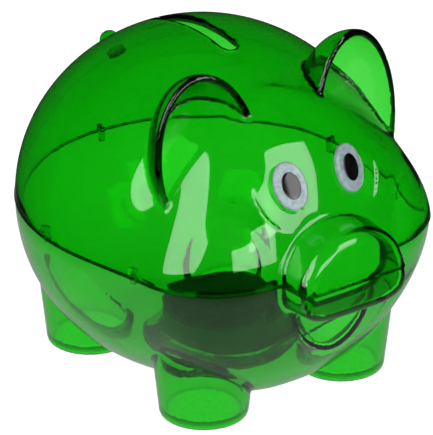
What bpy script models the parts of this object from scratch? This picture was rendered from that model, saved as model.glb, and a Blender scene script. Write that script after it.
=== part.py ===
"""Clear plastic piggy bank: two half shells, a push-in belly stopper and two-part eyes.

The pig faces -Y and +X is its left side. The origin is on the floor, midway between the
snout's face and the rear of the body. Lengths are in metres.
"""

import math

import bmesh
import bpy
from mathutils import Matrix, Vector

# The seam between the half shells, and the walls.
SEAM_Z = 0.0455
SEAM_GAP = 0.0003
WALL = 0.0020
FIT_GAP = 0.0003

# The body: an egg, cut off flat under the belly.
BODY_Y = 0.0068
BODY_HALF_WIDTH = 0.0507
BODY_HALF_LENGTH = 0.0532
BODY_UP = 0.0490
BODY_DOWN = 0.0474
BODY_UP_POWER = 1.96
BODY_DOWN_POWER = 2.08

# The head: a broad, cheeky bulge that melts into the front of the body.
HEAD_Y = -0.0233
HEAD_Z = 0.0466
HEAD_HALF_WIDTH = 0.0447
HEAD_HALF_LENGTH = 0.0274
HEAD_UP = 0.0412
HEAD_DOWN = 0.0447
HEAD_PLAN_POWER = 2.69
HEAD_UP_POWER = 1.50
HEAD_DOWN_POWER = 1.78
NECK_BLEND = 0.0028

# The snout: a short oval drum with a flat face, its widest level on the seam.
SNOUT_FACE_Y = -0.0600
SNOUT_ROOT_Y = -0.0360
SNOUT_HALF_WIDTH = 0.0166
SNOUT_UP = 0.0140
SNOUT_DOWN = 0.0086
SNOUT_UP_POWER = 2.05
SNOUT_DOWN_POWER = 3.6
SNOUT_DRAFT = 0.05
SNOUT_EDGE = 0.0038

# The lower jaw: a smiling flat face that stands out from the chin, under the snout.
JAW_Y = -0.0500
JAW_ROOT_Y = -0.0380
JAW_FLARE = 0.0055
JAW_HALF_WIDTH = 0.0129
JAW_TOP_Z = 0.0430
JAW_CORNER_Z = 0.0360
JAW_BOTTOM_Z = 0.0221
JAW_POWER = 1.8

# The ears: scoops cut from tall egg shells, open towards the face.
EAR_CENTRE = (0.0240, -0.0282, 0.0734)
EAR_HALF_WIDTH = 0.0153
EAR_HALF_HEIGHT = 0.0250
EAR_DEPTH = 0.0187
EAR_LEAN = math.radians(4.7)
EAR_BACK_SLOPE = 0.121
EAR_SIDE_SLOPE = 0.148
EAR_WALL = 0.0022

# The tail knob.
TAIL_ANGLE = math.radians(36.5)
TAIL_RADIUS = 0.0030
TAIL_REACH = 0.0022

# The coin slot along the spine.
SLOT_LENGTH = 0.0372
SLOT_WIDTH = 0.0046
SLOT_Y = 0.0128

# The legs: tapered hollow cups.
LEG_X = 0.0230
LEG_YS = (-0.0238, 0.0292)
FOOT_RADIUS = 0.0119
LEG_TAPER = 0.105
LEG_TOP_Z = 0.0240
FOOT_EDGE = 0.0007
FOOT_FLOOR = 0.0020

# The flat of the belly, the hole in it and the stopper.
PLUG_Y = -0.0005
BELLY_Z = 0.0047
HOLE_RADIUS = 0.0179
COLLAR_TOP_Z = 0.0090
PLUG_RADIUS = 0.0176
PLUG_TOP_Z = 0.0157
PLUG_FLANGE_RADIUS = 0.0190
PLUG_FLANGE = 0.0013
PLUG_WALL = 0.0016

# The eyes: oval discs in shallow seats, each with an oval pupil let into it.
EYE_AT = (0.0096, -0.0434, 0.0698)
EYE_FACING = (0.19, -0.87, 0.46)
EYE_ROLL = math.radians(10.0)
EYE_HALF_WIDTH = 0.0045
EYE_HALF_HEIGHT = 0.0065
EYE_SEAT_DEPTH = 0.0010
EYE_PROUD = 0.0006
PUPIL_SHARE = 0.56
PUPIL_DEPTH = 0.0006

# Locating pegs that hang from the upper shell inside the lower one: angle from the snout.
PEG_ANGLES = tuple(math.radians(angle) for angle in (58.0, 97.0, 180.0, 263.0, 302.0))
PEG_SIZE = 0.0016
PEG_DROP = 0.0024
PEG_GAP = 0.0007

# Mesh fineness.
AROUND = 64
ROWS = 13
OVAL_SIDES = 40
ROUND_SIDES = 36
FAR = 0.2


def clear_scene():
    for item in list(bpy.data.objects):
        bpy.data.objects.remove(item, do_unlink=True)


def make_material(name, colour, roughness, see_through=0.0):
    material = bpy.data.materials.new(name)
    material.use_nodes = True
    shader = material.node_tree.nodes["Principled BSDF"]
    shader.inputs["Base Color"].default_value = (*colour, 1.0)
    shader.inputs["Roughness"].default_value = roughness
    shader.inputs["Metallic"].default_value = 0.0
    shader.inputs["Transmission Weight"].default_value = see_through
    return material


def add_object(name, mesh, material=None):
    thing = bpy.data.objects.new(name, mesh)
    bpy.context.scene.collection.objects.link(thing)
    if material is not None:
        mesh.materials.append(material)
        mesh.shade_smooth()
        mesh.set_sharp_from_angle(angle=math.radians(35.0))
    return thing


def as_cutter(thing):
    thing.hide_render = True
    thing.display_type = "WIRE"
    return thing


def combine(target, other, operation):
    step = target.modifiers.new(f"{operation.lower()} {other.name}", "BOOLEAN")
    step.operation = operation
    step.solver = "EXACT"
    step.object = as_cutter(other)


def loft(name, rings, material=None):
    """A closed solid through rings with the same number of points, capped at both ends."""
    shape = bmesh.new()
    loops = [[shape.verts.new(point) for point in ring] for ring in rings]
    count = len(rings[0])
    for low, high in zip(loops, loops[1:]):
        for i in range(count):
            j = (i + 1) % count
            shape.faces.new((low[i], low[j], high[j], high[i]))
    shape.faces.new(list(reversed(loops[0])))
    shape.faces.new(loops[-1])
    bmesh.ops.recalc_face_normals(shape, faces=shape.faces)
    mesh = bpy.data.meshes.new(name)
    shape.to_mesh(mesh)
    shape.free()
    return add_object(name, mesh, material)


def turned(name, profile, centre, material=None, sides=ROUND_SIDES):
    """A solid of revolution about the vertical through centre, from (radius, height) steps."""
    rings = [[(centre[0] + radius * math.cos(turn), centre[1] + radius * math.sin(turn), height)
              for turn in (math.tau * i / sides for i in range(sides))]
             for radius, height in profile]
    return loft(name, rings, material)


def box(name, low, high):
    rings = [[(low[0], low[1], z), (high[0], low[1], z), (high[0], high[1], z), (low[0], high[1], z)]
             for z in (low[2], high[2])]
    return loft(name, rings)


def mirrored(point, side):
    return Vector((side * point[0], point[1], point[2]))


# The skin of body and head -------------------------------------------------------------------

def power_sum(values, power):
    return sum(abs(value) ** power for value in values) ** (1.0 / power)


def body_depth(point):
    """Below zero inside the egg of the body, about in metres from its surface."""
    above = point[2] > SEAM_Z
    height = BODY_UP if above else BODY_DOWN
    power = BODY_UP_POWER if above else BODY_DOWN_POWER
    plan = math.hypot(point[0] / BODY_HALF_WIDTH, (point[1] - BODY_Y) / BODY_HALF_LENGTH)
    return (power_sum((plan, (point[2] - SEAM_Z) / height), power) - 1.0) * BODY_HALF_WIDTH


def head_depth(point):
    above = point[2] > HEAD_Z
    height = HEAD_UP if above else HEAD_DOWN
    power = HEAD_UP_POWER if above else HEAD_DOWN_POWER
    plan = power_sum((point[0] / HEAD_HALF_WIDTH, (point[1] - HEAD_Y) / HEAD_HALF_LENGTH), HEAD_PLAN_POWER)
    return (power_sum((plan, (point[2] - HEAD_Z) / height), power) - 1.0) * HEAD_HALF_WIDTH * 0.8


def skin_depth(point):
    """The two forms joined with a soft fillet of about NECK_BLEND."""
    body, head = body_depth(point), head_depth(point)
    low, high = min(body, head), max(body, head)
    return low - NECK_BLEND * math.log1p(math.exp((low - high) / NECK_BLEND))


def skin_point(direction):
    """Where a ray from the middle of the body meets the skin."""
    middle = Vector((0.0, BODY_Y, SEAM_Z))
    near, far = 0.0, 0.09
    for _ in range(26):
        reach = (near + far) / 2
        if skin_depth(middle + reach * direction) < 0.0:
            near = reach
        else:
            far = reach
    return middle + near * direction


def skin_facing(point):
    step = 0.0001
    slopes = [skin_depth(point + step * axis) - skin_depth(point - step * axis)
              for axis in (Vector((1, 0, 0)), Vector((0, 1, 0)), Vector((0, 0, 1)))]
    return Vector(slopes).normalized()


def direction_at(turn, rise):
    """Turn is measured from the snout towards the pig's left; rise is the angle above the seam."""
    return Vector((math.sin(turn) * math.cos(rise), -math.cos(turn) * math.cos(rise), math.sin(rise)))


def inset_skin(turn, rise, inset):
    point = skin_point(direction_at(turn, rise))
    return point - inset * skin_facing(point)


def bank_solid(name, inset, around, rows):
    """The whole body and head as one closed solid, its skin moved inwards by inset."""
    shape = bmesh.new()
    rings = []
    for row in range(1 - rows, rows):
        rise = math.pi / 2 * row / rows
        rings.append([shape.verts.new(inset_skin(math.tau * i / around, rise, inset))
                      for i in range(around)])
    for low, high in zip(rings, rings[1:]):
        for i in range(around):
            j = (i + 1) % around
            shape.faces.new((low[i], low[j], high[j], high[i]))
    for ring, rise in ((rings[0], -math.pi / 2), (rings[-1], math.pi / 2)):
        pole = shape.verts.new(inset_skin(0.0, rise, inset))
        for i in range(around):
            shape.faces.new((ring[i], ring[(i + 1) % around], pole))
    bmesh.ops.recalc_face_normals(shape, faces=shape.faces)
    mesh = bpy.data.meshes.new(name)
    shape.to_mesh(mesh)
    shape.free()
    return add_object(name, mesh)


# What is moulded on the skin or pressed into it ------------------------------------------------

def oval(half_width, half_height, power, sides=OVAL_SIDES):
    """Points of a superellipse, as (across, up)."""
    points = []
    for i in range(sides):
        turn = math.tau * i / sides
        across, up = math.cos(turn), math.sin(turn)
        points.append((half_width * math.copysign(abs(across) ** (2.0 / power), across),
                       half_height * math.copysign(abs(up) ** (2.0 / power), up)))
    return points


def snout_ring(y, shrink):
    grown = SNOUT_DRAFT * (y - SNOUT_FACE_Y) - shrink
    above = oval(SNOUT_HALF_WIDTH + grown, SNOUT_UP + grown, SNOUT_UP_POWER)
    below = oval(SNOUT_HALF_WIDTH + grown, SNOUT_DOWN + grown, SNOUT_DOWN_POWER)
    half = OVAL_SIDES // 2
    return [(across, y, SEAM_Z + up) for across, up in above[:half] + below[half:]]


def snout_solid(name, inset):
    """The snout's drum, with a quarter-round edge to its face."""
    steps = 4
    face_y = SNOUT_FACE_Y + inset
    rings = [snout_ring(SNOUT_ROOT_Y, inset)]
    for i in range(steps + 1):
        angle = math.pi / 2 * i / steps
        pulled_in = SNOUT_EDGE * (1 - math.cos(angle))
        rings.append(snout_ring(face_y + SNOUT_EDGE * (1 - math.sin(angle)), inset + pulled_in))
    return loft(name, rings)


def jaw_outline(growth):
    """The lower jaw's outline, grown outwards: round below, and running up into the snout."""
    half_width = JAW_HALF_WIDTH + growth
    drop = JAW_CORNER_Z - JAW_BOTTOM_Z + growth
    below = [(-across, JAW_CORNER_Z - up)
             for across, up in oval(half_width, drop, JAW_POWER)[:OVAL_SIDES // 2 + 1]]
    return below + [(half_width, JAW_TOP_Z), (-half_width, JAW_TOP_Z)]


def jaw_solid(name, inset):
    """The lower jaw: a flat face with a crisp edge, flaring to its root in the chin."""
    edge = 0.0003
    face_y = JAW_Y + inset
    middle_y = (JAW_Y + JAW_ROOT_Y) / 2
    stations = ((JAW_ROOT_Y, JAW_FLARE), (middle_y, JAW_FLARE / 3), (face_y + edge, 0.0),
                (face_y, -edge))
    rings = [[(across, y, up) for across, up in jaw_outline(growth - inset)] for y, growth in stations]
    return loft(name, rings)


def ear_frame(side):
    """The ear's axes: across its opening, up along its length, and back from the face."""
    back = mirrored((-EAR_SIDE_SLOPE, 1.0, -EAR_BACK_SLOPE), side).normalized()
    up = mirrored((math.sin(EAR_LEAN), 0.0, math.cos(EAR_LEAN)), side)
    up = (up - up.dot(back) * back).normalized()
    across = up.cross(back)
    frame = Matrix((across, up, back)).transposed().to_4x4()
    frame.translation = mirrored(EAR_CENTRE, side)
    return frame


def dome_rings(frame, half_sizes, lifts):
    """Ovals over the ear's opening, from the rim up to near the crown of the egg's half."""
    rings = []
    for lift in lifts:
        around, up = math.cos(lift), math.sin(lift)
        rings.append([frame @ Vector((across * around, along * around, half_sizes[2] * up))
                      for across, along in oval(half_sizes[0], half_sizes[1], 2.0)])
    return rings


def ear_solid(side):
    """Half of a tall egg shell, open at the front; the bank's wall closes it below."""
    frame = ear_frame(side)
    sizes = (EAR_HALF_WIDTH, EAR_HALF_HEIGHT, EAR_DEPTH)
    lifts = [math.radians(lift) for lift in (0.0, 11.0, 22.0, 33.0, 44.0, 55.0, 66.0, 76.0, 84.0)]
    outside = dome_rings(frame, sizes, list(reversed(lifts)))
    inside = dome_rings(frame, [size - EAR_WALL for size in sizes], lifts)
    return loft(f"ear {side}", outside + inside)


def tail_solid():
    """A small round knob on the upper rear."""
    root = skin_point(direction_at(math.pi, TAIL_ANGLE))
    facing = skin_facing(root)
    frame = facing.to_track_quat("Z", "Y").to_matrix().to_4x4()
    frame.translation = root + (TAIL_REACH - TAIL_RADIUS) * facing
    shape = bmesh.new()
    bmesh.ops.create_uvsphere(shape, u_segments=20, v_segments=12, radius=TAIL_RADIUS, matrix=frame)
    mesh = bpy.data.meshes.new("tail")
    shape.to_mesh(mesh)
    shape.free()
    return add_object("tail", mesh)


def slot_solid():
    """The coin slot's cutter: straight sides and round ends."""
    half_width = SLOT_WIDTH / 2
    reach = SLOT_LENGTH / 2 - half_width
    steps = 8
    outline = []
    for end in (1, -1):
        for i in range(steps + 1):
            turn = math.pi * i / steps
            outline.append((end * half_width * math.cos(turn), SLOT_Y + end * (reach + half_width * math.sin(turn))))
    rings = [[(x, y, z) for x, y in outline] for z in (SEAM_Z + 0.02, SEAM_Z + 0.07)]
    return loft("coin slot", rings)


def leg_solid(name, x, y, inset):
    """A tapered round leg, or its hollow when inset is the wall's thickness."""
    def radius_at(z):
        return FOOT_RADIUS + LEG_TAPER * z - inset

    floor = FOOT_FLOOR if inset else 0.0
    profile = [(radius_at(0.0) - FOOT_EDGE, floor), (radius_at(FOOT_EDGE), floor + FOOT_EDGE),
               (radius_at(LEG_TOP_Z), LEG_TOP_Z)]
    return turned(name, profile, (x, y))


def peg_solids(index, turn):
    """A locating peg: a foot moulded on the upper wall and a pin hanging inside the lower one."""
    wall = inset_skin(turn, 0.0, 0.0)
    inward = -skin_facing(wall)
    inward.z = 0.0
    inward.normalize()
    sideways = Vector((-inward.y, inward.x, 0.0))
    pieces = []
    end = WALL + PEG_GAP + PEG_SIZE
    spans = ((WALL / 2, end + 0.0002, PEG_SIZE, SEAM_Z + 0.0006, SEAM_Z + 0.0026),
             (WALL + PEG_GAP, end, PEG_SIZE - 0.0003, SEAM_Z - PEG_DROP, SEAM_Z + 0.0020))
    for number, (start, end, width, bottom, top) in enumerate(spans):
        corners = [wall + inward * along + sideways * (across * width / 2)
                   for along, across in ((start, -1), (end, -1), (end, 1), (start, 1))]
        pieces.append(loft(f"peg {index}-{number}", [[(c.x, c.y, z) for c in corners] for z in (bottom, top)]))
    combine(pieces[0], pieces[1], "UNION")
    return pieces[0]


# The eyes ---------------------------------------------------------------------------------------

def eye_frame(side):
    """The eye's axes: across, up and out of the face, at the middle of its seat's mouth."""
    out = mirrored(EYE_FACING, side).normalized()
    across = Vector((0, 0, 1)).cross(out).normalized()
    frame = Matrix((across, out.cross(across), out)).transposed().to_4x4()
    frame = frame @ Matrix.Rotation(-side * EYE_ROLL, 4, "Z")
    frame.translation = mirrored(EYE_AT, side)
    return frame


def oval_slab(name, frame, half_width, half_height, low, high, material=None):
    ring = oval(half_width, half_height, 2.0)
    rings = [[frame @ Vector((across, up, z)) for across, up in ring] for z in (low, high)]
    return loft(name, rings, material)


def eye_seat(side):
    return oval_slab(f"eye seat {side}", eye_frame(side), EYE_HALF_WIDTH + FIT_GAP,
                     EYE_HALF_HEIGHT + FIT_GAP, -EYE_SEAT_DEPTH, 0.01)


def make_eye(side, white, black):
    label = "left" if side > 0 else "right"
    frame = eye_frame(side)
    disc = oval_slab(f"eye_white_{label}", frame, EYE_HALF_WIDTH, EYE_HALF_HEIGHT,
                     FIT_GAP - EYE_SEAT_DEPTH, EYE_PROUD, white)
    half_width, half_height = PUPIL_SHARE * EYE_HALF_WIDTH, PUPIL_SHARE * EYE_HALF_HEIGHT
    hollow = oval_slab(f"pupil seat {label}", frame, half_width + FIT_GAP, half_height + FIT_GAP,
                       EYE_PROUD - PUPIL_DEPTH, 0.01)
    combine(disc, hollow, "DIFFERENCE")
    oval_slab(f"eye_pupil_{label}", frame, half_width, half_height,
              EYE_PROUD - PUPIL_DEPTH + FIT_GAP, EYE_PROUD + FIT_GAP, black)


# The shells and the stopper -----------------------------------------------------------------------

def make_body(name, inset, around, rows):
    """Body and head with the belly's flat, before anything is moulded on."""
    body = bank_solid(name, inset, around, rows)
    flat = box(f"{name} above the belly's flat", (-FAR, -FAR, BELLY_Z + inset), (FAR, FAR, FAR))
    combine(body, flat, "INTERSECT")
    return body


def make_upper_shell(green):
    shell = bank_solid("upper_shell", 0.0, AROUND, ROWS)
    shell.data.materials.append(green)
    combine(shell, snout_solid("upper snout", 0.0), "UNION")
    for side in (-1, 1):
        combine(shell, ear_solid(side), "UNION")
    combine(shell, tail_solid(), "UNION")
    hollow = bank_solid("upper hollow", WALL, AROUND - 12, ROWS - 2)
    combine(hollow, snout_solid("upper snout hollow", WALL), "UNION")
    combine(shell, hollow, "DIFFERENCE")
    above = box("above the seam", (-FAR, -FAR, SEAM_Z + SEAM_GAP / 2), (FAR, FAR, FAR))
    combine(shell, above, "INTERSECT")
    combine(shell, slot_solid(), "DIFFERENCE")
    for side in (-1, 1):
        combine(shell, eye_seat(side), "DIFFERENCE")
    for index, turn in enumerate(PEG_ANGLES):
        combine(shell, peg_solids(index, turn), "UNION")


def make_lower_hollow():
    """What is empty inside the lower shell: body, jaw, snout and legs, less the collar."""
    hollow = make_body("lower hollow", WALL, AROUND - 12, ROWS - 2)
    combine(hollow, jaw_solid("jaw hollow", WALL), "UNION")
    combine(hollow, snout_solid("lower snout hollow", WALL), "UNION")
    for x in (-LEG_X, LEG_X):
        for y in LEG_YS:
            combine(hollow, leg_solid(f"leg hollow {x} {y}", x, y, WALL), "UNION")
    rings = [(HOLE_RADIUS + WALL, 0.0), (HOLE_RADIUS + WALL, COLLAR_TOP_Z)]
    combine(hollow, turned("collar", rings, (0.0, PLUG_Y)), "DIFFERENCE")
    return hollow


def make_lower_shell(green):
    shell = make_body("lower_shell", 0.0, AROUND, ROWS)
    shell.data.materials.append(green)
    combine(shell, jaw_solid("jaw", 0.0), "UNION")
    combine(shell, snout_solid("lower snout", 0.0), "UNION")
    for x in (-LEG_X, LEG_X):
        for y in LEG_YS:
            combine(shell, leg_solid(f"leg {x} {y}", x, y, 0.0), "UNION")
    combine(shell, make_lower_hollow(), "DIFFERENCE")
    rings = [(HOLE_RADIUS, -0.01), (HOLE_RADIUS, COLLAR_TOP_Z + 0.01)]
    combine(shell, turned("belly hole", rings, (0.0, PLUG_Y)), "DIFFERENCE")
    below = box("below the seam", (-FAR, -FAR, -FAR), (FAR, FAR, SEAM_Z - SEAM_GAP / 2))
    combine(shell, below, "INTERSECT")


def make_plug(black):
    """A cup-shaped stopper: flange below the belly, skirt up through the hole."""
    top = BELLY_Z - FIT_GAP
    bottom = top - PLUG_FLANGE
    edge = 0.0004
    profile = [(PLUG_FLANGE_RADIUS - edge, bottom), (PLUG_FLANGE_RADIUS, bottom + edge),
               (PLUG_FLANGE_RADIUS, top), (PLUG_RADIUS, top), (PLUG_RADIUS, PLUG_TOP_Z - edge),
               (PLUG_RADIUS - edge, PLUG_TOP_Z), (PLUG_RADIUS - PLUG_WALL, PLUG_TOP_Z),
               (PLUG_RADIUS - PLUG_WALL, bottom + PLUG_WALL)]
    profile = [(radius, height - bottom) for radius, height in profile]
    plug = turned("belly_plug", profile, (0.0, 0.0), black, sides=48)
    plug.location = (0.0, PLUG_Y, bottom)
    return plug


def build():
    clear_scene()
    green = make_material("clear green plastic", (0.0, 0.42, 0.02), 0.05, see_through=1.0)
    white = make_material("eye white plastic", (0.72, 0.78, 0.82), 0.25)
    pupil_black = make_material("pupil black plastic", (0.01, 0.01, 0.01), 0.15)
    soft_black = make_material("black stopper plastic", (0.015, 0.015, 0.015), 0.45)
    make_upper_shell(green)
    make_lower_shell(green)
    make_plug(soft_black)
    for side in (-1, 1):
        make_eye(side, white, pupil_black)


build()
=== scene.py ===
"""The looks of the clear green piggy bank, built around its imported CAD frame."""
import math

import bmesh
import bpy
import numpy as np
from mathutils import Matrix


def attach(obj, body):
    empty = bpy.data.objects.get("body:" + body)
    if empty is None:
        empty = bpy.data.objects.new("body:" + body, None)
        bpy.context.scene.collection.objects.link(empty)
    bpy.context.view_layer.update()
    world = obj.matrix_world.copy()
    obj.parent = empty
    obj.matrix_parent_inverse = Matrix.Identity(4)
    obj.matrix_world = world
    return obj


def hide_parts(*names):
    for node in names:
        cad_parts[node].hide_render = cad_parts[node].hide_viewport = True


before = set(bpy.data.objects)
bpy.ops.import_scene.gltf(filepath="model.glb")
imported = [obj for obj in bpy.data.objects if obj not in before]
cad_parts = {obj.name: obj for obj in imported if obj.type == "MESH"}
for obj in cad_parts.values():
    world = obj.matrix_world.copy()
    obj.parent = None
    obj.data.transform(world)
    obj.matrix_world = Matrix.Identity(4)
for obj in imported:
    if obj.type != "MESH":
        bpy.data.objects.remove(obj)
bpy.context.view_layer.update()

import openvdb
from mathutils import Matrix, Vector

MM = 0.001

# Every length of the object is in millimetres, in the row frame.
SEAM_Z = 45.5
SEAM_GAP = 0.3
WALL = 2.0
JAW_WALL, SNOUT_WALL = 1.2, 1.6
FIT_GAP = 0.3

BODY_Y = 6.8
BODY_SIZES = (50.7, 53.2)
BODY_UP, BODY_UP_POWER = 49.0, 1.96
BODY_DOWN, BODY_DOWN_POWER = 47.4, 2.08
BELLY_EDGE = 1.0

HEAD_Y, HEAD_Z = -23.3, 46.6
HEAD_SIZES = (44.7, 27.4)
HEAD_PLAN_POWER = 2.69
HEAD_UP, HEAD_UP_POWER = 41.2, 1.50
HEAD_DOWN, HEAD_DOWN_POWER = 44.7, 1.78
NECK_BLEND = 2.8
HEAD_SCALE = 0.8 * 44.7
BODY_SCALE = 50.7

CHEEK_AT = (26.9, -34.2, 45.5)
CHEEK_TURN = math.radians(43.8)
CHEEK_SIZES = (16.5, 12.2, 20.0)
CHEEK_BLEND = 0.8

SNOUT_FACE_Y = -60.0
SNOUT_ROOT_Y = -36.0
SNOUT_HALF_WIDTH = 16.6
SNOUT_UP, SNOUT_UP_POWER = 14.0, 2.05
SNOUT_DOWN, SNOUT_DOWN_POWER = 8.6, 3.6
SNOUT_DRAFT = 0.05
SNOUT_EDGE, SNOUT_LOW_EDGE = 3.8, 1.3
SNOUT_EDGE_CHANGE = 4.0  # above and below the seam, where one edge turns into the other
SNOUT_FILLET, SNOUT_HOLLOW_FILLET = 0.8, 0.3

JAW_Y, JAW_ROOT_Y, JAW_FLARE = -50.0, -38.0, 5.5
JAW_HALF_WIDTH = 12.9
JAW_CORNER_Z, JAW_BOTTOM_Z, JAW_TOP_Z = 36.0, 22.1, 43.0
JAW_POWER, JAW_FLARE_POWER = 1.8, 1.6
JAW_SLANT = 0.9  # levels the flared side's field
JAW_EDGE, JAW_FILLET = 0.5, 1.5

EAR_CENTRE = (24.0, -28.2, 73.4)
EAR_SIZES = (15.3, 25.0, 18.7)
EAR_LEAN = math.radians(4.7)
EAR_BACK_SLOPE, EAR_SIDE_SLOPE = 0.121, 0.148
EAR_WALL, EAR_EDGE, EAR_FILLET = 1.9, 0.8, 0.5

TAIL_ANGLE = math.radians(33.5)
TAIL_RADIUS, TAIL_REACH, TAIL_FILLET = 2.8, 5.0, 0.8

SLOT_LENGTH, SLOT_WIDTH, SLOT_Y = 37.2, 4.6, 12.8
SLOT_EDGE, SLOT_CUT_Z = 0.6, 70.0

LEG_X = 23.0
LEG_YS = (-23.8, 29.2)
FOOT_RADIUS, LEG_TAPER, LEG_TOP_Z = 11.9, 0.105, 24.0
FOOT_EDGE = 0.8
LEG_FILLET, LEG_HOLLOW_FILLET = 0.4, 0.8

PLUG_Y, BELLY_Z = -0.5, 4.7
HOLE_RADIUS, COLLAR_TOP_Z = 17.9, 9.0
COLLAR_EDGE, COLLAR_FOOT_EDGE, COLLAR_FILLET = 0.5, 0.3, 0.6
HOLE_EDGE, HOLE_CUT = 0.4, 5.0
PLUG_RADIUS, PLUG_TOP_Z = 17.6, 15.7
PLUG_FLANGE_RADIUS, PLUG_FLANGE, PLUG_WALL = 19.0, 1.3, 1.6
PLUG_EDGE, PLUG_MIDDLE = 0.45, 0.2
DISH_RADIUS, DISH_DEPTH, DISH_SLOPE = 12.5, 0.5, 0.6

EYE_AT = (9.6, -43.4, 69.8)
EYE_FACING = (0.19, -0.87, 0.46)
EYE_ROLL = math.radians(10.0)
EYE_HALF_WIDTH, EYE_HALF_HEIGHT = 4.5, 6.5
EYE_SEAT_DEPTH, EYE_PROUD = 1.0, 0.6
EYE_EDGE = 0.5
EYE_SEAT_GAP, EYE_SEAT_EDGE = 0.8, 0.3
EYE_FLAT_DEPTH, EYE_FLAT_REACH, EYE_FLAT_FILLET = 0.62, 5.5, 0.35
PUPIL_SHARE = 0.56
PUPIL_LIFT, PUPIL_CROWN, PUPIL_EDGE = 0.02, 0.04, 0.2

PEG_ANGLES = (58.0, 97.0, 180.0, 263.0, 302.0)
PEG_HALF_WIDTH = 0.75
# The peg's outline, inward from the shell's outside and up from the seam.
PEG_PROFILE = ((1.7, 0.5), (2.7, 0.5), (2.7, -2.1), (3.0, -2.4),
               (3.9, -2.4), (4.2, -2.1), (4.2, 1.6), (1.7, 2.4))
# How far the upper shell's edge stands out past the lower shell's, and how high that fades away.
OVERHANG, OVERHANG_FADE = 0.3, 1.2
INNER_EDGE = 0.2  # rounding wherever the hollow meets an opening

# How finely the shells are meshed, and the space that the two walls are meshed in.
CELL = 0.7
BAND = 3 * CELL
MARGIN = 3.0
FRONT_Y, BACK_Y, SIDE_X, TOP_Z = -62.0, 61.0, 52.0, 99.0
BEYOND = 90.0  # a reach from the middle that is outside the skin in every direction
LEAST_SLOPE = 0.3
CIRCLE_SIDES = 96

# Linear colours, from the darker to the lighter of each surface's slight mottling.
GREEN_FILM = ((0.93, 0.99, 0.93), (0.98, 1.0, 0.98))
EYE_GREYS = ((0.14, 0.20, 0.21), (0.25, 0.32, 0.33))
PUPIL_BLACKS = ((0.001, 0.001, 0.001), (0.004, 0.004, 0.004))
STOPPER_BLACKS = ((0.008, 0.010, 0.008), (0.02, 0.022, 0.02))
FLOOR_GREYS = ((0.44, 0.44, 0.44), (0.46, 0.46, 0.46))

# The dye in the clear plastic: what it lets through, and how much of it is in each shell.
DYE_COLOUR = (0.03, 0.836, 0.0, 1.0)
UPPER_DYE, LOWER_DYE = 1420.0, 1180.0
PLASTIC_IOR = 1.5

# The stage, in metres. Seen in gloss the floor is a painted reflection of a dark studio: partly dark
# near the middle, wholly dark past a given reach.
FLOOR_HALF_SIZE, FLOOR_GLOW = 6.0, 0.92
PAINTED_REFLECTION_REACH = (0.10, 0.15)
PAINTED_REFLECTION_NEAR_SHARE = 0.62
PAINTED_REFLECTION_DARK = 0.02
SKY_WHITE_TO, SKY_GREY_FROM, SKY_GREY = 0.14, 0.42, 0.06
# Each lit panel's middle, its two sides and its brightness.
SOFTBOXES = {
    "left softbox": ((-0.785, -0.430, 0.492), (-0.790, -0.975, 0.285), (-0.185, -0.004, -0.545), 5.0),
    "right softbox": ((0.366, -0.764, 0.531), (0.476, -0.132, 0.051), (-0.037, -0.319, -0.472), 5.0),
    "low softbox": ((-0.03, -1.0, 0.25), (0.54, 0.0, 0.0), (0.0, 0.0, -0.38), 5.0),
}

CAMERA_AZIMUTH, CAMERA_ELEVATION = math.radians(-36.31), math.radians(25.85)
CAMERA_TARGET = (-6.535, -7.094, 45.765)
CAMERA_DISTANCE = 1.09562
CAMERA_LENS, CAMERA_SENSOR = 341.24, 36.0


# Fields: below zero inside, about in millimetres from the surface ------------------------------

def blend_in(a, b, radius):
    """The union of two fields with a round fillet between them."""
    u = np.maximum(radius - a, 0.0)
    v = np.maximum(radius - b, 0.0)
    return np.maximum(radius, np.minimum(a, b)) - np.hypot(u, v)


def keep_both(a, b, radius):
    """Where both fields are inside, with a rounded edge."""
    u = np.maximum(radius + a, 0.0)
    v = np.maximum(radius + b, 0.0)
    return np.minimum(-radius, np.maximum(a, b)) + np.hypot(u, v)


def power_sum(a, b, power):
    return (np.abs(a) ** power + np.abs(b) ** power) ** (1.0 / power)


def raw_skin(x, y, z):
    above = z > SEAM_Z
    plan = np.hypot(x / BODY_SIZES[0], (y - BODY_Y) / BODY_SIZES[1])
    body = np.where(above, power_sum(plan, (z - SEAM_Z) / BODY_UP, BODY_UP_POWER),
                    power_sum(plan, (z - SEAM_Z) / BODY_DOWN, BODY_DOWN_POWER))
    body = (body - 1.0) * BODY_SCALE
    plan = power_sum(x / HEAD_SIZES[0], (y - HEAD_Y) / HEAD_SIZES[1], HEAD_PLAN_POWER)
    head = np.where(z > HEAD_Z, power_sum(plan, (z - HEAD_Z) / HEAD_UP, HEAD_UP_POWER),
                    power_sum(plan, (z - HEAD_Z) / HEAD_DOWN, HEAD_DOWN_POWER))
    head = (head - 1.0) * HEAD_SCALE
    low, high = np.minimum(body, head), np.maximum(body, head)
    return low - NECK_BLEND * np.log1p(np.exp((low - high) / NECK_BLEND))


def levelled(raw, x, y, z, *more, step=0.05):
    """A raw field over its own slope, so that it reads about in millimetres."""
    here = raw(x, y, z, *more)
    slope = np.sqrt((raw(x + step, y, z, *more) - here) ** 2
                    + (raw(x, y + step, z, *more) - here) ** 2
                    + (raw(x, y, z + step, *more) - here) ** 2) / step
    return here / np.maximum(slope, LEAST_SLOPE)


def raw_cheek(x, y, z, inward):
    dx = x - CHEEK_AT[0] + inward * math.sin(CHEEK_TURN)
    dy = y - CHEEK_AT[1] - inward * math.cos(CHEEK_TURN)
    along = dx * math.cos(CHEEK_TURN) + dy * math.sin(CHEEK_TURN)
    outward = dx * math.sin(CHEEK_TURN) - dy * math.cos(CHEEK_TURN)
    inside = np.sqrt((along / CHEEK_SIZES[0]) ** 2 + (outward / CHEEK_SIZES[1]) ** 2
                     + ((z - CHEEK_AT[2]) / CHEEK_SIZES[2]) ** 2)
    return (inside - 1.0) * CHEEK_SIZES[1]


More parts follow.
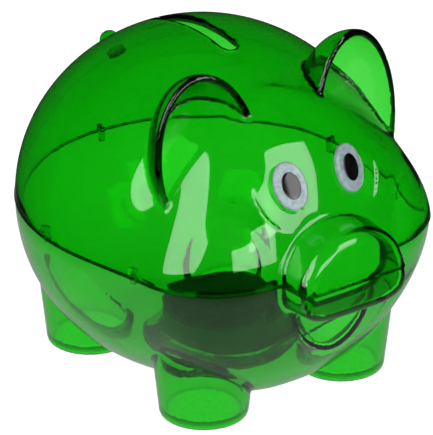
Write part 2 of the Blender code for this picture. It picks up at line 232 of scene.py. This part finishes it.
def skin(x, y, z, inward=0.0):
    """Body and head, with a full cheek each side, standing flat on the belly.

    Inward gives the hollow's surface: behind a cheek it is the same cheek moved in, so that its
    wall bends the view least.
    """
    cheek = levelled(raw_cheek, np.abs(x), y, z, inward)
    whole = blend_in(levelled(raw_skin, x, y, z) + inward, cheek, CHEEK_BLEND)
    return keep_both(whole, BELLY_Z + inward - z, BELLY_EDGE)


def oval_field(u, v, half_u, half_v, power):
    share = power_sum(u / half_u, v / half_v, power)
    share = np.maximum(share, 1e-3)
    slope_u = (np.abs(u / half_u) / share) ** (power - 1.0) / half_u
    slope_v = (np.abs(v / half_v) / share) ** (power - 1.0) / half_v
    return (share - 1.0) / np.hypot(slope_u, slope_v)


def snout(x, y, z):
    """A drum with a full upper half and a squarer, crisper lower one, widening to its root."""
    grown = SNOUT_DRAFT * (y - SNOUT_FACE_Y)
    up = z - SEAM_Z
    above = oval_field(x, up, SNOUT_HALF_WIDTH + grown, SNOUT_UP + grown, SNOUT_UP_POWER)
    below = oval_field(x, up, SNOUT_HALF_WIDTH + grown, SNOUT_DOWN + grown, SNOUT_DOWN_POWER)
    side = np.where(up > 0.0, above, below)
    share = np.clip((up + SNOUT_EDGE_CHANGE) / (2 * SNOUT_EDGE_CHANGE), 0.0, 1.0)
    edge = SNOUT_LOW_EDGE + (SNOUT_EDGE - SNOUT_LOW_EDGE) * share
    drum = keep_both(side, SNOUT_FACE_Y - y, edge)
    return np.maximum(drum, y - SNOUT_ROOT_Y)


def jaw(x, y, z):
    """The lower jaw: a flat face with a crisp edge, flaring to its root in the chin."""
    down = z - JAW_CORNER_Z
    curve = oval_field(x, down, JAW_HALF_WIDTH, JAW_CORNER_Z - JAW_BOTTOM_Z, JAW_POWER)
    outline = np.where(down < 0.0, curve, np.abs(x) - JAW_HALF_WIDTH)
    share = np.clip((y - JAW_Y) / (JAW_ROOT_Y - JAW_Y), 0.0, 1.0)
    side = (outline - JAW_FLARE * share ** JAW_FLARE_POWER) * JAW_SLANT
    solid = keep_both(side, JAW_Y - y, JAW_EDGE)
    return np.maximum(solid, np.maximum(z - JAW_TOP_Z, y - JAW_ROOT_Y))


def legs(x, y, z):
    slant = math.cos(math.atan(LEG_TAPER))
    nearest = np.minimum(np.abs(y - LEG_YS[0]), np.abs(y - LEG_YS[1]))
    side = (np.hypot(np.abs(x) - LEG_X, nearest) - FOOT_RADIUS - LEG_TAPER * z) * slant
    return np.maximum(keep_both(side, -z, FOOT_EDGE), z - LEG_TOP_Z)


def ear_axes():
    back = Vector((-EAR_SIDE_SLOPE, 1.0, -EAR_BACK_SLOPE)).normalized()
    up = Vector((math.sin(EAR_LEAN), 0.0, math.cos(EAR_LEAN)))
    up = (up - up.dot(back) * back).normalized()
    return up.cross(back), up, back


def raw_ear(u, v, w):
    inside = np.sqrt((u / EAR_SIZES[0]) ** 2 + (v / EAR_SIZES[1]) ** 2 + (w / EAR_SIZES[2]) ** 2)
    return (inside - 1.0) * EAR_SIZES[0]


def ears(x, y, z):
    """Half an egg's shell, open to the front; x as a distance gives both ears at once."""
    across, up, back = ear_axes()
    dx, dy, dz = np.abs(x) - EAR_CENTRE[0], y - EAR_CENTRE[1], z - EAR_CENTRE[2]
    u = dx * across.x + dy * across.y + dz * across.z
    v = dx * up.x + dy * up.y + dz * up.z
    w = dx * back.x + dy * back.y + dz * back.z
    outside = levelled(raw_ear, u, v, w)
    scoop = keep_both(outside, -w, EAR_EDGE)
    return keep_both(scoop, -(outside + EAR_WALL), EAR_EDGE)


def tail(x, y, z):
    root, facing = TAIL_ROOT
    middle = root + (TAIL_REACH - TAIL_RADIUS) * facing
    return np.sqrt((x - middle.x) ** 2 + (y - middle.y) ** 2 + (z - middle.z) ** 2) - TAIL_RADIUS


def eye_frame(side):
    out = Vector((side * EYE_FACING[0], EYE_FACING[1], EYE_FACING[2])).normalized()
    across = Vector((0, 0, 1)).cross(out).normalized()
    axes = Matrix((across, out.cross(across), out)).transposed().to_4x4()
    axes = axes @ Matrix.Rotation(-side * EYE_ROLL, 4, "Z")
    axes.translation = Vector((side * EYE_AT[0], EYE_AT[1], EYE_AT[2]))
    return axes


def eye_seats(x, y, z):
    """A flat pressed into the head round each eye, and the oval seat inside it."""
    back = eye_frame(1).inverted()
    ax = np.abs(x)
    u = ax * back[0][0] + y * back[0][1] + z * back[0][2] + back[0][3]
    v = ax * back[1][0] + y * back[1][1] + z * back[1][2] + back[1][3]
    w = ax * back[2][0] + y * back[2][1] + z * back[2][2] + back[2][3]
    side = oval_field(u, v, EYE_HALF_WIDTH + EYE_SEAT_GAP, EYE_HALF_HEIGHT + EYE_SEAT_GAP, 2.0)
    seat = keep_both(side, -w - EYE_SEAT_DEPTH, EYE_SEAT_EDGE)
    reach = oval_field(u, v, EYE_HALF_WIDTH + EYE_FLAT_REACH, EYE_HALF_HEIGHT + EYE_FLAT_REACH, 2.0)
    flat = np.maximum(reach, -w - EYE_FLAT_DEPTH)
    return blend_in(seat, flat, EYE_FLAT_FILLET)


def coin_slot(x, y, z):
    half = SLOT_WIDTH / 2
    painted_dark_share = np.maximum(np.abs(y - SLOT_Y) - (SLOT_LENGTH / 2 - half), 0.0)
    return np.maximum(np.hypot(x, painted_dark_share) - half, SLOT_CUT_Z - z)


def collar_and_hole(x, y, z, shell):
    radius = np.hypot(x, y - PLUG_Y)
    ring = keep_both(radius - HOLE_RADIUS - WALL, z - COLLAR_TOP_Z, COLLAR_EDGE)
    ring = keep_both(ring, BELLY_Z - z, COLLAR_FOOT_EDGE)
    shell = blend_in(shell, ring, COLLAR_FILLET)
    hole = np.maximum(radius - HOLE_RADIUS, z - COLLAR_TOP_Z - HOLE_CUT)
    return keep_both(shell, -hole, HOLE_EDGE)


def bank(x, y, z, overhang=0.0):
    """The bank's wall: outside forms less the hollow that follows them at the wall's thickness."""
    drum = snout(x, y, z)
    feet = legs(x, y, z)
    chin = jaw(x, y, z)
    hollow = blend_in(skin(x, y, z, WALL), chin + JAW_WALL, JAW_FILLET)
    hollow = blend_in(hollow, drum + SNOUT_WALL, SNOUT_HOLLOW_FILLET)
    hollow = blend_in(hollow, feet + WALL, LEG_HOLLOW_FILLET)
    outside = blend_in(skin(x, y, z), chin, JAW_FILLET)
    outside = blend_in(outside, drum, SNOUT_FILLET)
    outside = blend_in(outside, feet, LEG_FILLET)
    outside = blend_in(outside, ears(x, y, z), EAR_FILLET)
    outside = blend_in(outside, tail(x, y, z), TAIL_FILLET)
    outside = outside - overhang * np.exp(-np.abs(z - SEAM_Z) / OVERHANG_FADE)
    shell = keep_both(outside, -hollow, INNER_EDGE)
    shell = collar_and_hole(x, y, z, shell)
    shell = keep_both(shell, -coin_slot(x, y, z), SLOT_EDGE)
    return keep_both(shell, -eye_seats(x, y, z), EYE_SEAT_EDGE)


def skin_place(turn, rise):
    """A point of the skin and its outward direction; turn is measured from the snout."""
    way = Vector((math.sin(turn) * math.cos(rise), -math.cos(turn) * math.cos(rise), math.sin(rise)))
    middle = Vector((0.0, BODY_Y, SEAM_Z))
    near, far = 0.0, BEYOND
    for _ in range(30):
        reach = (near + far) / 2
        point = middle + reach * way
        if float(raw_skin(np.float64(point.x), np.float64(point.y), np.float64(point.z))) < 0.0:
            near = reach
        else:
            far = reach
    point = middle + near * way
    x, y, z = (np.float64(value) for value in point)
    step = 0.01
    facing = Vector((float(raw_skin(x + step, y, z) - raw_skin(x - step, y, z)),
                     float(raw_skin(x, y + step, z) - raw_skin(x, y - step, z)),
                     float(raw_skin(x, y, z + step) - raw_skin(x, y, z - step))))
    return point, facing.normalized()


TAIL_ROOT = skin_place(math.pi, TAIL_ANGLE)


# Meshing -------------------------------------------------------------------------------------------

def surface_of(field, low, high):
    """Points and quads of a field's surface; the field is even in x, so only half is worked out."""
    xs = np.arange(low[0], high[0] + CELL, CELL)
    ys = np.arange(low[1], high[1] + CELL, CELL)
    zs = np.arange(low[2], high[2] + CELL, CELL)
    half = np.empty((len(xs), len(ys), len(zs)), np.float32)
    for i, x in enumerate(xs):
        half[i] = field(np.float64(x), ys[:, None], zs[None, :])
    whole = np.concatenate([half[:0:-1], half])
    whole = np.clip(whole, -BAND, BAND)
    grid = openvdb.FloatGrid(background=BAND)
    grid.copyFromArray(whole)
    grid.transform = openvdb.createLinearTransform(voxelSize=CELL)
    points, quads = grid.convertToQuads(isovalue=0.0)
    points = np.asarray(points, float) + np.array([-xs[-1], ys[0], zs[0]])
    return points, np.asarray(quads)


def slopes_at(field, points, step=0.02):
    x, y, z = points.T
    here = field(x, y, z)
    slope = np.stack([(field(x + step, y, z) - here) / step, (field(x, y + step, z) - here) / step,
                      (field(x, y, z + step) - here) / step], 1)
    return here, slope


def settled(field, points, quads, rounds=2):
    """Evens the mesh out along the surface and brings every point back onto it."""
    pairs = ((0, 1), (1, 2), (2, 3), (3, 0))
    ends = np.concatenate([quads[:, list(pair)] for pair in pairs])
    count = np.bincount(ends.ravel(), minlength=len(points))[:, None]
    for turn in range(rounds + 1):
        here, slope = slopes_at(field, points)
        length = np.maximum((slope ** 2).sum(1), 0.05)
        push = np.clip(here / length, -CELL / 2, CELL / 2)
        points = points - push[:, None] * slope
        if turn == rounds:
            break
        mean = np.zeros_like(points)
        np.add.at(mean, ends[:, 0], points[ends[:, 1]])
        np.add.at(mean, ends[:, 1], points[ends[:, 0]])
        facing = slope / np.sqrt(length)[:, None]
        move = mean / count - points
        move -= (move * facing).sum(1)[:, None] * facing
        points = points + 0.5 * move
    return points


def mesh_from(name, points, faces):
    mesh = bpy.data.meshes.new(name)
    mesh.from_pydata((np.asarray(points) * MM).tolist(), [], [list(face) for face in faces])
    mesh.validate()
    mesh.update()
    return mesh


def new_object(name, mesh, material, smooth=40.0):
    thing = bpy.data.objects.new(name, mesh)
    bpy.context.scene.collection.objects.link(thing)
    mesh.materials.clear()
    mesh.materials.append(material)
    mesh.shade_smooth()
    mesh.set_sharp_from_angle(angle=math.radians(smooth))
    return thing


def half_of(mesh, name, level, keep_above):
    """One side of the closed wall, cut level and closed again across the wall's thickness."""
    shape = bmesh.new()
    shape.from_mesh(mesh)
    parts = shape.verts[:] + shape.edges[:] + shape.faces[:]
    bmesh.ops.bisect_plane(shape, geom=parts, dist=1e-7,
                           plane_co=(0, 0, level * MM), plane_no=(0, 0, 1),
                           clear_inner=keep_above, clear_outer=not keep_above)
    rims = [edge for edge in shape.edges if edge.is_boundary]
    bmesh.ops.bridge_loops(shape, edges=rims)
    bmesh.ops.recalc_face_normals(shape, faces=shape.faces)
    cut = bpy.data.meshes.new(name)
    shape.to_mesh(cut)
    shape.free()
    return cut


# Materials -----------------------------------------------------------------------------------------

def node(tree, kind, **settings):
    made = tree.nodes.new(kind)
    for name, value in settings.items():
        made.inputs[name].default_value = value
    return made


def painted(name, colours, scale, rough, rough_swing=0.08, bump=0.0, bump_scale=400.0):
    """Moulded plastic: its colour, gloss and surface vary a little, as moulding leaves them."""
    material = bpy.data.materials.new(name)
    material.use_nodes = True
    tree = material.node_tree
    shader = tree.nodes["Principled BSDF"]
    place = tree.nodes.new("ShaderNodeTexCoord")
    cloud = node(tree, "ShaderNodeTexNoise", Scale=scale, Detail=4.0, Roughness=0.55)
    tree.links.new(place.outputs["Object"], cloud.inputs["Vector"])
    ramp = tree.nodes.new("ShaderNodeValToRGB")
    for stop, position, colour in zip(ramp.color_ramp.elements, (0.35, 0.65), colours):
        stop.position = position
        stop.color = (*colour, 1.0)
    tree.links.new(cloud.outputs["Fac"], ramp.inputs["Fac"])
    tree.links.new(ramp.outputs["Color"], shader.inputs["Base Color"])
    span = tree.nodes.new("ShaderNodeMapRange")
    span.inputs["To Min"].default_value = max(rough - rough_swing / 2, 0.0)
    span.inputs["To Max"].default_value = rough + rough_swing / 2
    tree.links.new(cloud.outputs["Fac"], span.inputs["Value"])
    tree.links.new(span.outputs["Result"], shader.inputs["Roughness"])
    if bump:
        grain = node(tree, "ShaderNodeTexNoise", Scale=bump_scale, Detail=3.0)
        tree.links.new(place.outputs["Object"], grain.inputs["Vector"])
        lift = node(tree, "ShaderNodeBump", Strength=0.5, Distance=bump)
        tree.links.new(grain.outputs["Fac"], lift.inputs["Height"])
        tree.links.new(lift.outputs["Normal"], shader.inputs["Normal"])
    return material


def clear_green(name, density):
    """Transparent plastic dyed right through: thick or edge-on wall is darker than thin wall."""
    material = painted(name, GREEN_FILM, 30.0, 0.02, 0.02, bump=0.00012, bump_scale=45.0)
    tree = material.node_tree
    shader = tree.nodes["Principled BSDF"]
    shader.inputs["Transmission Weight"].default_value = 1.0
    shader.inputs["IOR"].default_value = PLASTIC_IOR
    dye = node(tree, "ShaderNodeVolumeAbsorption", Color=DYE_COLOUR, Density=density)
    tree.links.new(dye.outputs["Volume"], tree.nodes["Material Output"].inputs["Volume"])
    return material


# Pieces --------------------------------------------------------------------------------------------

def peg(shape, turn):
    """A small locating hook moulded inside the upper shell's edge."""
    place, facing = skin_place(math.radians(turn), 0.0)
    inward = -Vector((facing.x, facing.y, 0.0)).normalized()
    sideways = Vector((-inward.y, inward.x, 0.0)) * PEG_HALF_WIDTH
    sides = []
    for shift in (-sideways, sideways):
        points = [place + inward * along + shift + Vector((0.0, 0.0, up))
                  for along, up in PEG_PROFILE]
        sides.append([shape.verts.new(point * MM) for point in points])
    near, far = sides
    faces = [shape.faces.new(list(reversed(near))), shape.faces.new(far)]
    for i in range(len(near)):
        j = (i + 1) % len(near)
        faces.append(shape.faces.new((near[i], near[j], far[j], far[i])))
    bmesh.ops.recalc_face_normals(shape, faces=faces)


def bank_above(x, y, z):
    return bank(x, y, z, OVERHANG)


def wall_of(name, field, low_z, high_z):
    low = (0.0, FRONT_Y - MARGIN, low_z - MARGIN)
    high = (SIDE_X + MARGIN, BACK_Y + MARGIN, high_z + MARGIN)
    points, quads = surface_of(field, low, high)
    return mesh_from(name, settled(field, points, quads), quads)


def make_shells():
    upper = wall_of("upper wall", bank_above, SEAM_Z, TOP_Z)
    upper = half_of(upper, "upper shell wall", SEAM_Z + SEAM_GAP / 2, True)
    lower = wall_of("lower wall", bank, 0.0, SEAM_Z)
    lower = half_of(lower, "lower shell wall", SEAM_Z - SEAM_GAP / 2, False)
    shape = bmesh.new()
    shape.from_mesh(upper)
    for turn in PEG_ANGLES:
        peg(shape, turn)
    shape.to_mesh(upper)
    shape.free()
    for name, mesh, density in (("upper_shell_clear", upper, UPPER_DYE),
                                ("lower_shell_clear", lower, LOWER_DYE)):
        shell = new_object(name, mesh, clear_green(name + "_plastic", density))
        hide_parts(name.replace("_clear", ""))
        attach(shell, "bank")


def lofted(name, shape, rings):
    """The mesh of a closed solid skinned over rings of the same number of corners."""
    for near, far in zip(rings, rings[1:]):
        for i in range(len(near)):
            j = (i + 1) % len(near)
            shape.faces.new((near[i], near[j], far[j], far[i]))
    shape.faces.new(list(reversed(rings[0])))
    shape.faces.new(rings[-1])
    bmesh.ops.recalc_face_normals(shape, faces=shape.faces)
    mesh = bpy.data.meshes.new(name)
    shape.to_mesh(mesh)
    shape.free()
    return mesh


def turned(name, profile, centre, material):
    """A solid of revolution about a vertical line, from (radius, height) steps."""
    shape = bmesh.new()
    rings = []
    for radius, height in profile:
        ring = []
        for i in range(CIRCLE_SIDES):
            turn = math.tau * i / CIRCLE_SIDES
            ring.append(shape.verts.new(((centre[0] + radius * math.cos(turn)) * MM,
                                         (centre[1] + radius * math.sin(turn)) * MM,
                                         height * MM)))
        rings.append(ring)
    return new_object(name, lofted(name, shape, rings), material, 35.0)


def rounded(profile, radius, steps=4):
    """The profile with every corner but its two ends replaced by a short arc."""
    done = [profile[0]]
    for before, corner, after in zip(profile, profile[1:], profile[2:]):
        here = Vector(corner)
        back, ahead = Vector(before) - here, Vector(after) - here
        reach = min(radius, back.length / 2.1, ahead.length / 2.1)
        start, end = here + back.normalized() * reach, here + ahead.normalized() * reach
        for i in range(steps + 1):
            t = i / steps
            done.append(tuple(start * (1 - t) ** 2 + here * 2 * t * (1 - t) + end * t ** 2))
    done.append(profile[-1])
    return done


def make_stopper(black):
    top = BELLY_Z - FIT_GAP
    bottom = top - PLUG_FLANGE
    cup_radius, cup_floor = PLUG_RADIUS - PLUG_WALL, bottom + PLUG_WALL
    profile = [(PLUG_MIDDLE, bottom + DISH_DEPTH), (DISH_RADIUS, bottom + DISH_DEPTH),
               (DISH_RADIUS + DISH_SLOPE, bottom), (PLUG_FLANGE_RADIUS, bottom),
               (PLUG_FLANGE_RADIUS, top), (PLUG_RADIUS, top), (PLUG_RADIUS, PLUG_TOP_Z),
               (cup_radius, PLUG_TOP_Z), (cup_radius, cup_floor), (PLUG_MIDDLE, cup_floor)]
    stopper = turned("stopper_moulded", rounded(profile, PLUG_EDGE), (0.0, PLUG_Y), black)
    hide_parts("belly_plug")
    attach(stopper, "stopper")


def oval_button(name, axes, half_width, half_height, low, high, crown, edge, material):
    """An oval disc with a rounded edge and a slightly domed face."""
    steps = [(0.0, low), (0.0, high - edge)]
    steps += [(edge * (1 - math.cos(a)), high - edge * (1 - math.sin(a)))
              for a in (math.radians(d) for d in (22, 45, 68, 90))]
    rings = [(half_width - shrink, half_height - shrink, height) for shrink, height in steps]
    flat_u, flat_v = half_width - edge, half_height - edge
    for share in (0.85, 0.65, 0.45, 0.25, 0.08):
        rings.append((flat_u * share, flat_v * share, high + crown * (1 - share ** 2)))
    shape = bmesh.new()
    loops = []
    for half_u, half_v, height in rings:
        loop = []
        for i in range(CIRCLE_SIDES):
            turn = math.tau * i / CIRCLE_SIDES
            point = axes @ Vector((half_u * math.cos(turn), half_v * math.sin(turn), height))
            loop.append(shape.verts.new(point * MM))
        loops.append(loop)
    return new_object(name, lofted(name, shape, loops), material)


def make_eyes(white, black):
    for side, label in ((-1, "right"), (1, "left")):
        axes = eye_frame(side)
        disc = oval_button(f"eye_disc_{label}", axes, EYE_HALF_WIDTH, EYE_HALF_HEIGHT,
                           FIT_GAP - EYE_SEAT_DEPTH, EYE_PROUD, 0.0, EYE_EDGE, white)
        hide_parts(f"eye_white_{label}")
        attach(disc, "bank")
        pupil = oval_button(f"pupil_{label}", axes,
                            PUPIL_SHARE * EYE_HALF_WIDTH, PUPIL_SHARE * EYE_HALF_HEIGHT,
                            EYE_PROUD + PUPIL_LIFT, EYE_PROUD + FIT_GAP, PUPIL_CROWN, PUPIL_EDGE, black)
        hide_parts(f"eye_pupil_{label}")
        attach(pupil, "bank")


# Floor, light and camera -----------------------------------------------------------------------------

def grey(value):
    return (value, value, value, 1.0)


def seen_in_gloss(tree):
    """One for a ray that has just been mirrored, nought for any other."""
    path = tree.nodes.new("ShaderNodeLightPath")
    both = tree.nodes.new("ShaderNodeMath")
    both.operation = "MULTIPLY"
    tree.links.new(path.outputs["Is Reflection Ray"], both.inputs[0])
    tree.links.new(path.outputs["Is Glossy Ray"], both.inputs[1])
    return both.outputs[0]


def make_floor():
    """A pale table that glows a little, as a light table does; in gloss it shows a painted reflection,
    partly dark near the middle and dark studio grey further out.
    """
    material = painted("studio floor", FLOOR_GREYS, 2.0, 0.6)
    tree = material.node_tree
    shader = tree.nodes["Principled BSDF"]
    shader.inputs["Emission Color"].default_value = grey(1.0)
    shader.inputs["Emission Strength"].default_value = FLOOR_GLOW
    place = tree.nodes.new("ShaderNodeTexCoord")
    reach = tree.nodes.new("ShaderNodeVectorMath")
    reach.operation = "LENGTH"
    tree.links.new(place.outputs["Object"], reach.inputs[0])
    span = tree.nodes.new("ShaderNodeMapRange")
    span.interpolation_type = "SMOOTHSTEP"
    span.inputs["From Min"].default_value, span.inputs["From Max"].default_value = PAINTED_REFLECTION_REACH
    span.inputs["To Min"].default_value = PAINTED_REFLECTION_NEAR_SHARE
    tree.links.new(reach.outputs["Value"], span.inputs["Value"])
    # painted reflection: only mirrored rays see the floor turn to dark studio grey, more so past the
    # reach
    painted_dark_share = tree.nodes.new("ShaderNodeMath")
    painted_dark_share.operation = "MULTIPLY"
    tree.links.new(span.outputs["Result"], painted_dark_share.inputs[0])
    tree.links.new(seen_in_gloss(tree), painted_dark_share.inputs[1])
    dark = node(tree, "ShaderNodeEmission", Color=grey(PAINTED_REFLECTION_DARK), Strength=1.0)
    mix = tree.nodes.new("ShaderNodeMixShader")
    tree.links.new(painted_dark_share.outputs[0], mix.inputs["Fac"])
    tree.links.new(shader.outputs["BSDF"], mix.inputs[1])
    tree.links.new(dark.outputs["Emission"], mix.inputs[2])
    tree.links.new(mix.outputs["Shader"], tree.nodes["Material Output"].inputs["Surface"])
    shape = bmesh.new()
    bmesh.ops.create_grid(shape, x_segments=4, y_segments=4, size=FLOOR_HALF_SIZE)
    mesh = bpy.data.meshes.new("floor")
    shape.to_mesh(mesh)
    shape.free()
    floor = new_object("studio_floor", mesh, material)


def softbox(name, middle, along, down, brightness):
    """A lit panel given by its middle and its two sides, lighting the side that the object is on."""
    middle, along, down = Vector(middle), Vector(along), Vector(down)
    size = (along.length, down.length)
    along = along.normalized()
    back = along.cross(down).normalized()
    if back.dot(middle) < 0.0:
        back = -back
    lamp = bpy.data.lights.new(name, "AREA")
    lamp.shape = "RECTANGLE"
    lamp.size, lamp.size_y = size
    lamp.energy = brightness * size[0] * size[1] * math.pi
    holder = bpy.data.objects.new(name, lamp)
    bpy.context.scene.collection.objects.link(holder)
    axes = Matrix((along, back.cross(along), back)).transposed().to_4x4()
    axes.translation = middle
    holder.matrix_world = axes
    holder.visible_camera = False


def make_light():
    """A sky that is white near the horizon and dim overhead, and three lit panels; in gloss the sky is
    a painted reflection, dark studio grey.
    """
    world = bpy.data.worlds.new("studio")
    bpy.context.scene.world = world
    world.use_nodes = True
    tree = world.node_tree
    place = tree.nodes.new("ShaderNodeTexCoord")
    split = tree.nodes.new("ShaderNodeSeparateXYZ")
    tree.links.new(place.outputs["Generated"], split.inputs["Vector"])
    ramp = tree.nodes.new("ShaderNodeValToRGB")
    low_stop, high_stop = ramp.color_ramp.elements
    low_stop.position = SKY_WHITE_TO
    low_stop.color = grey(1.0)
    high_stop.position = SKY_GREY_FROM
    high_stop.color = grey(SKY_GREY)
    tree.links.new(split.outputs["Z"], ramp.inputs["Fac"])
    # painted reflection: mirrored rays see the sky as dark studio grey
    dim = tree.nodes.new("ShaderNodeMix")
    dim.data_type = "RGBA"
    tree.links.new(seen_in_gloss(tree), dim.inputs["Factor"])
    tree.links.new(ramp.outputs["Color"], dim.inputs["A"])
    dim.inputs["B"].default_value = grey(PAINTED_REFLECTION_DARK)
    tree.links.new(dim.outputs["Result"], tree.nodes["Background"].inputs["Color"])
    for name, (middle, along, down, brightness) in SOFTBOXES.items():
        softbox(name, middle, along, down, brightness)


def make_camera():
    """Above and to the pig's right of the snout, with a long lens."""
    back = Vector((math.sin(CAMERA_AZIMUTH) * math.cos(CAMERA_ELEVATION),
                   -math.cos(CAMERA_AZIMUTH) * math.cos(CAMERA_ELEVATION),
                   math.sin(CAMERA_ELEVATION)))
    right = Vector((math.cos(CAMERA_AZIMUTH), math.sin(CAMERA_AZIMUTH), 0.0))
    turn = Matrix((right, back.cross(right), back)).transposed().to_4x4()
    turn.translation = Vector(CAMERA_TARGET) * MM + back * CAMERA_DISTANCE
    lens = bpy.data.cameras.new("camera")
    lens.sensor_fit = "HORIZONTAL"
    lens.sensor_width = CAMERA_SENSOR
    lens.lens = CAMERA_LENS
    lens.clip_start, lens.clip_end = 0.01, 50.0
    camera = bpy.data.objects.new("camera", lens)
    bpy.context.scene.collection.objects.link(camera)
    camera.matrix_world = turn
    bpy.context.scene.camera = camera


white = painted("eye white plastic", EYE_GREYS, 900.0, 0.35, 0.1, bump=0.00002)
pupil_black = painted("pupil black plastic", PUPIL_BLACKS, 300.0, 0.08, 0.04)
pupil_black.node_tree.nodes["Principled BSDF"].inputs["Specular IOR Level"].default_value = 0.45
soft_black = painted("black stopper plastic", STOPPER_BLACKS, 250.0, 0.45, 0.15, bump=0.00003)
make_shells()
make_stopper(soft_black)
make_eyes(white, pupil_black)
make_floor()
make_light()
make_camera()
bpy.context.scene.view_settings.view_transform = "Standard"
